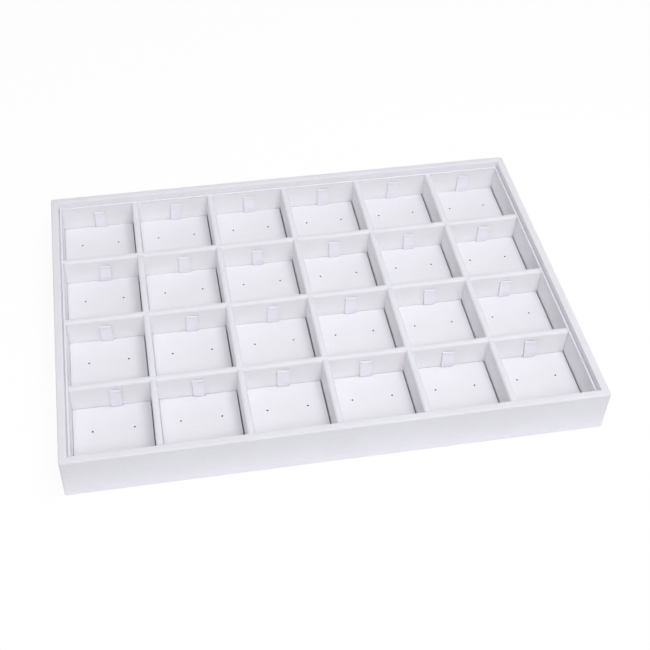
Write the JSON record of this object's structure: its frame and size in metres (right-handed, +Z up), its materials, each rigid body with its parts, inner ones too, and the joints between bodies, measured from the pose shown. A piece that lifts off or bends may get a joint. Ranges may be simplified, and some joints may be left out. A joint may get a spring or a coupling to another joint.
{
  "type": "jewelry tray",
  "caption": "Shallow covered display tray with a lift-out divider grid and a removable pin pad with a folding pull tab in every compartment, for stud earrings.",
  "frame": {"origin": "centre of the underside, on the surface that the tray rests on", "axes": "+X to the right along the length, +Y to the back, where the tabs stand, +Z up"},
  "size_m": [0.35, 0.245, 0.033],
  "materials": {
    "leatherette": "satin",
    "covered_card": "matte",
    "pad": "matte",
    "tab": "satin",
    "fibreboard": "matte",
    "lining": "matte"
  },
  "bodies": {
    "tray_frame": {"base_board": "fibreboard", "underside_lining": "lining", "front_rail": "fibreboard", "back_rail": "fibreboard", "left_rail": "fibreboard", "right_rail": "fibreboard", "frame_cover": "leatherette"},
    "divider_grid": {"rim_long_walls": "covered_card", "rim_end_walls": "covered_card", "long_dividers": "covered_card", "cross_dividers": "covered_card"},
    "pad_r1_c1": {"pad_r1_c1": "pad"},
    "tab_r1_c1": {"tab_r1_c1": "tab"},
    "pad_r1_c2": {"pad_r1_c2": "pad"},
    "tab_r1_c2": {"tab_r1_c2": "tab"},
    "pad_r1_c3": {"pad_r1_c3": "pad"},
    "tab_r1_c3": {"tab_r1_c3": "tab"},
    "pad_r1_c4": {"pad_r1_c4": "pad"},
    "tab_r1_c4": {"tab_r1_c4": "tab"},
    "pad_r1_c5": {"pad_r1_c5": "pad"},
    "tab_r1_c5": {"tab_r1_c5": "tab"},
    "pad_r1_c6": {"pad_r1_c6": "pad"},
    "tab_r1_c6": {"tab_r1_c6": "tab"},
    "pad_r2_c1": {"pad_r2_c1": "pad"},
    "tab_r2_c1": {"tab_r2_c1": "tab"},
    "pad_r2_c2": {"pad_r2_c2": "pad"},
    "tab_r2_c2": {"tab_r2_c2": "tab"},
    "pad_r2_c3": {"pad_r2_c3": "pad"},
    "tab_r2_c3": {"tab_r2_c3": "tab"},
    "pad_r2_c4": {"pad_r2_c4": "pad"},
    "tab_r2_c4": {"tab_r2_c4": "tab"},
    "pad_r2_c5": {"pad_r2_c5": "pad"},
    "tab_r2_c5": {"tab_r2_c5": "tab"},
    "pad_r2_c6": {"pad_r2_c6": "pad"},
    "tab_r2_c6": {"tab_r2_c6": "tab"},
    "pad_r3_c1": {"pad_r3_c1": "pad"},
    "tab_r3_c1": {"tab_r3_c1": "tab"},
    "pad_r3_c2": {"pad_r3_c2": "pad"},
    "tab_r3_c2": {"tab_r3_c2": "tab"},
    "pad_r3_c3": {"pad_r3_c3": "pad"},
    "tab_r3_c3": {"tab_r3_c3": "tab"},
    "pad_r3_c4": {"pad_r3_c4": "pad"},
    "tab_r3_c4": {"tab_r3_c4": "tab"},
    "pad_r3_c5": {"pad_r3_c5": "pad"},
    "tab_r3_c5": {"tab_r3_c5": "tab"},
    "pad_r3_c6": {"pad_r3_c6": "pad"},
    "tab_r3_c6": {"tab_r3_c6": "tab"},
    "pad_r4_c1": {"pad_r4_c1": "pad"},
    "tab_r4_c1": {"tab_r4_c1": "tab"},
    "pad_r4_c2": {"pad_r4_c2": "pad"},
    "tab_r4_c2": {"tab_r4_c2": "tab"},
    "pad_r4_c3": {"pad_r4_c3": "pad"},
    "tab_r4_c3": {"tab_r4_c3": "tab"},
    "pad_r4_c4": {"pad_r4_c4": "pad"},
    "tab_r4_c4": {"tab_r4_c4": "tab"},
    "pad_r4_c5": {"pad_r4_c5": "pad"},
    "tab_r4_c5": {"tab_r4_c5": "tab"},
    "pad_r4_c6": {"pad_r4_c6": "pad"},
    "tab_r4_c6": {"tab_r4_c6": "tab"}
  },
  "joints": [
    {"name": "grid_lift", "type": "slide", "parent": "tray_frame", "child": "divider_grid", "axis": [0, 0, 1], "range_m": [0, 0.045]},
    {"name": "pad_lift_r1_c1", "type": "slide", "parent": "tray_frame", "child": "pad_r1_c1", "axis": [0, 0, 1], "range_m": [0, 0.035]},
    {"name": "tab_fold_r1_c1", "type": "hinge", "parent": "pad_r1_c1", "child": "tab_r1_c1", "pos_m": [-0.14188, 0.1144, 0.00895], "axis": [1, 0, 0], "range_deg": [0, 75], "stiffness_Nm_per_rad": 0.0002},
    {"name": "pad_lift_r1_c2", "type": "slide", "parent": "tray_frame", "child": "pad_r1_c2", "axis": [0, 0, 1], "range_m": [0, 0.035]},
    {"name": "tab_fold_r1_c2", "type": "hinge", "parent": "pad_r1_c2", "child": "tab_r1_c2", "pos_m": [-0.08513, 0.1144, 0.00895], "axis": [1, 0, 0], "range_deg": [0, 75], "stiffness_Nm_per_rad": 0.0002},
    {"name": "pad_lift_r1_c3", "type": "slide", "parent": "tray_frame", "child": "pad_r1_c3", "axis": [0, 0, 1], "range_m": [0, 0.035]},
    {"name": "tab_fold_r1_c3", "type": "hinge", "parent": "pad_r1_c3", "child": "tab_r1_c3", "pos_m": [-0.02838, 0.1144, 0.00895], "axis": [1, 0, 0], "range_deg": [0, 75], "stiffness_Nm_per_rad": 0.0002},
    {"name": "pad_lift_r1_c4", "type": "slide", "parent": "tray_frame", "child": "pad_r1_c4", "axis": [0, 0, 1], "range_m": [0, 0.035]},
    {"name": "tab_fold_r1_c4", "type": "hinge", "parent": "pad_r1_c4", "child": "tab_r1_c4", "pos_m": [0.02838, 0.1144, 0.00895], "axis": [1, 0, 0], "range_deg": [0, 75], "stiffness_Nm_per_rad": 0.0002},
    {"name": "pad_lift_r1_c5", "type": "slide", "parent": "tray_frame", "child": "pad_r1_c5", "axis": [0, 0, 1], "range_m": [0, 0.035]},
    {"name": "tab_fold_r1_c5", "type": "hinge", "parent": "pad_r1_c5", "child": "tab_r1_c5", "pos_m": [0.08513, 0.1144, 0.00895], "axis": [1, 0, 0], "range_deg": [0, 75], "stiffness_Nm_per_rad": 0.0002},
    {"name": "pad_lift_r1_c6", "type": "slide", "parent": "tray_frame", "child": "pad_r1_c6", "axis": [0, 0, 1], "range_m": [0, 0.035]},
    {"name": "tab_fold_r1_c6", "type": "hinge", "parent": "pad_r1_c6", "child": "tab_r1_c6", "pos_m": [0.14188, 0.1144, 0.00895], "axis": [1, 0, 0], "range_deg": [0, 75], "stiffness_Nm_per_rad": 0.0002},
    {"name": "pad_lift_r2_c1", "type": "slide", "parent": "tray_frame", "child": "pad_r2_c1", "axis": [0, 0, 1], "range_m": [0, 0.035]},
    {"name": "tab_fold_r2_c1", "type": "hinge", "parent": "pad_r2_c1", "child": "tab_r2_c1", "pos_m": [-0.14188, 0.05547, 0.00895], "axis": [1, 0, 0], "range_deg": [0, 75], "stiffness_Nm_per_rad": 0.0002},
    {"name": "pad_lift_r2_c2", "type": "slide", "parent": "tray_frame", "child": "pad_r2_c2", "axis": [0, 0, 1], "range_m": [0, 0.035]},
    {"name": "tab_fold_r2_c2", "type": "hinge", "parent": "pad_r2_c2", "child": "tab_r2_c2", "pos_m": [-0.08513, 0.05547, 0.00895], "axis": [1, 0, 0], "range_deg": [0, 75], "stiffness_Nm_per_rad": 0.0002},
    {"name": "pad_lift_r2_c3", "type": "slide", "parent": "tray_frame", "child": "pad_r2_c3", "axis": [0, 0, 1], "range_m": [0, 0.035]},
    {"name": "tab_fold_r2_c3", "type": "hinge", "parent": "pad_r2_c3", "child": "tab_r2_c3", "pos_m": [-0.02838, 0.05547, 0.00895], "axis": [1, 0, 0], "range_deg": [0, 75], "stiffness_Nm_per_rad": 0.0002},
    {"name": "pad_lift_r2_c4", "type": "slide", "parent": "tray_frame", "child": "pad_r2_c4", "axis": [0, 0, 1], "range_m": [0, 0.035]},
    {"name": "tab_fold_r2_c4", "type": "hinge", "parent": "pad_r2_c4", "child": "tab_r2_c4", "pos_m": [0.02838, 0.05547, 0.00895], "axis": [1, 0, 0], "range_deg": [0, 75], "stiffness_Nm_per_rad": 0.0002},
    {"name": "pad_lift_r2_c5", "type": "slide", "parent": "tray_frame", "child": "pad_r2_c5", "axis": [0, 0, 1], "range_m": [0, 0.035]},
    {"name": "tab_fold_r2_c5", "type": "hinge", "parent": "pad_r2_c5", "child": "tab_r2_c5", "pos_m": [0.08513, 0.05547, 0.00895], "axis": [1, 0, 0], "range_deg": [0, 75], "stiffness_Nm_per_rad": 0.0002},
    {"name": "pad_lift_r2_c6", "type": "slide", "parent": "tray_frame", "child": "pad_r2_c6", "axis": [0, 0, 1], "range_m": [0, 0.035]},
    {"name": "tab_fold_r2_c6", "type": "hinge", "parent": "pad_r2_c6", "child": "tab_r2_c6", "pos_m": [0.14188, 0.05547, 0.00895], "axis": [1, 0, 0], "range_deg": [0, 75], "stiffness_Nm_per_rad": 0.0002},
    {"name": "pad_lift_r3_c1", "type": "slide", "parent": "tray_frame", "child": "pad_r3_c1", "axis": [0, 0, 1], "range_m": [0, 0.035]},
    {"name": "tab_fold_r3_c1", "type": "hinge", "parent": "pad_r3_c1", "child": "tab_r3_c1", "pos_m": [-0.14188, -0.00345, 0.00895], "axis": [1, 0, 0], "range_deg": [0, 75], "stiffness_Nm_per_rad": 0.0002},
    {"name": "pad_lift_r3_c2", "type": "slide", "parent": "tray_frame", "child": "pad_r3_c2", "axis": [0, 0, 1], "range_m": [0, 0.035]},
    {"name": "tab_fold_r3_c2", "type": "hinge", "parent": "pad_r3_c2", "child": "tab_r3_c2", "pos_m": [-0.08513, -0.00345, 0.00895], "axis": [1, 0, 0], "range_deg": [0, 75], "stiffness_Nm_per_rad": 0.0002},
    {"name": "pad_lift_r3_c3", "type": "slide", "parent": "tray_frame", "child": "pad_r3_c3", "axis": [0, 0, 1], "range_m": [0, 0.035]},
    {"name": "tab_fold_r3_c3", "type": "hinge", "parent": "pad_r3_c3", "child": "tab_r3_c3", "pos_m": [-0.02838, -0.00345, 0.00895], "axis": [1, 0, 0], "range_deg": [0, 75], "stiffness_Nm_per_rad": 0.0002},
    {"name": "pad_lift_r3_c4", "type": "slide", "parent": "tray_frame", "child": "pad_r3_c4", "axis": [0, 0, 1], "range_m": [0, 0.035]},
    {"name": "tab_fold_r3_c4", "type": "hinge", "parent": "pad_r3_c4", "child": "tab_r3_c4", "pos_m": [0.02838, -0.00345, 0.00895], "axis": [1, 0, 0], "range_deg": [0, 75], "stiffness_Nm_per_rad": 0.0002},
    {"name": "pad_lift_r3_c5", "type": "slide", "parent": "tray_frame", "child": "pad_r3_c5", "axis": [0, 0, 1], "range_m": [0, 0.035]},
    {"name": "tab_fold_r3_c5", "type": "hinge", "parent": "pad_r3_c5", "child": "tab_r3_c5", "pos_m": [0.08513, -0.00345, 0.00895], "axis": [1, 0, 0], "range_deg": [0, 75], "stiffness_Nm_per_rad": 0.0002},
    {"name": "pad_lift_r3_c6", "type": "slide", "parent": "tray_frame", "child": "pad_r3_c6", "axis": [0, 0, 1], "range_m": [0, 0.035]},
    {"name": "tab_fold_r3_c6", "type": "hinge", "parent": "pad_r3_c6", "child": "tab_r3_c6", "pos_m": [0.14188, -0.00345, 0.00895], "axis": [1, 0, 0], "range_deg": [0, 75], "stiffness_Nm_per_rad": 0.0002},
    {"name": "pad_lift_r4_c1", "type": "slide", "parent": "tray_frame", "child": "pad_r4_c1", "axis": [0, 0, 1], "range_m": [0, 0.035]},
    {"name": "tab_fold_r4_c1", "type": "hinge", "parent": "pad_r4_c1", "child": "tab_r4_c1", "pos_m": [-0.14188, -0.06237, 0.00895], "axis": [1, 0, 0], "range_deg": [0, 75], "stiffness_Nm_per_rad": 0.0002},
    {"name": "pad_lift_r4_c2", "type": "slide", "parent": "tray_frame", "child": "pad_r4_c2", "axis": [0, 0, 1], "range_m": [0, 0.035]},
    {"name": "tab_fold_r4_c2", "type": "hinge", "parent": "pad_r4_c2", "child": "tab_r4_c2", "pos_m": [-0.08513, -0.06237, 0.00895], "axis": [1, 0, 0], "range_deg": [0, 75], "stiffness_Nm_per_rad": 0.0002},
    {"name": "pad_lift_r4_c3", "type": "slide", "parent": "tray_frame", "child": "pad_r4_c3", "axis": [0, 0, 1], "range_m": [0, 0.035]},
    {"name": "tab_fold_r4_c3", "type": "hinge", "parent": "pad_r4_c3", "child": "tab_r4_c3", "pos_m": [-0.02838, -0.06237, 0.00895], "axis": [1, 0, 0], "range_deg": [0, 75], "stiffness_Nm_per_rad": 0.0002},
    {"name": "pad_lift_r4_c4", "type": "slide", "parent": "tray_frame", "child": "pad_r4_c4", "axis": [0, 0, 1], "range_m": [0, 0.035]},
    {"name": "tab_fold_r4_c4", "type": "hinge", "parent": "pad_r4_c4", "child": "tab_r4_c4", "pos_m": [0.02838, -0.06237, 0.00895], "axis": [1, 0, 0], "range_deg": [0, 75], "stiffness_Nm_per_rad": 0.0002},
    {"name": "pad_lift_r4_c5", "type": "slide", "parent": "tray_frame", "child": "pad_r4_c5", "axis": [0, 0, 1], "range_m": [0, 0.035]},
    {"name": "tab_fold_r4_c5", "type": "hinge", "parent": "pad_r4_c5", "child": "tab_r4_c5", "pos_m": [0.08513, -0.06237, 0.00895], "axis": [1, 0, 0], "range_deg": [0, 75], "stiffness_Nm_per_rad": 0.0002},
    {"name": "pad_lift_r4_c6", "type": "slide", "parent": "tray_frame", "child": "pad_r4_c6", "axis": [0, 0, 1], "range_m": [0, 0.035]},
    {"name": "tab_fold_r4_c6", "type": "hinge", "parent": "pad_r4_c6", "child": "tab_r4_c6", "pos_m": [0.14188, -0.06237, 0.00895], "axis": [1, 0, 0], "range_deg": [0, 75], "stiffness_Nm_per_rad": 0.0002}
  ]
}
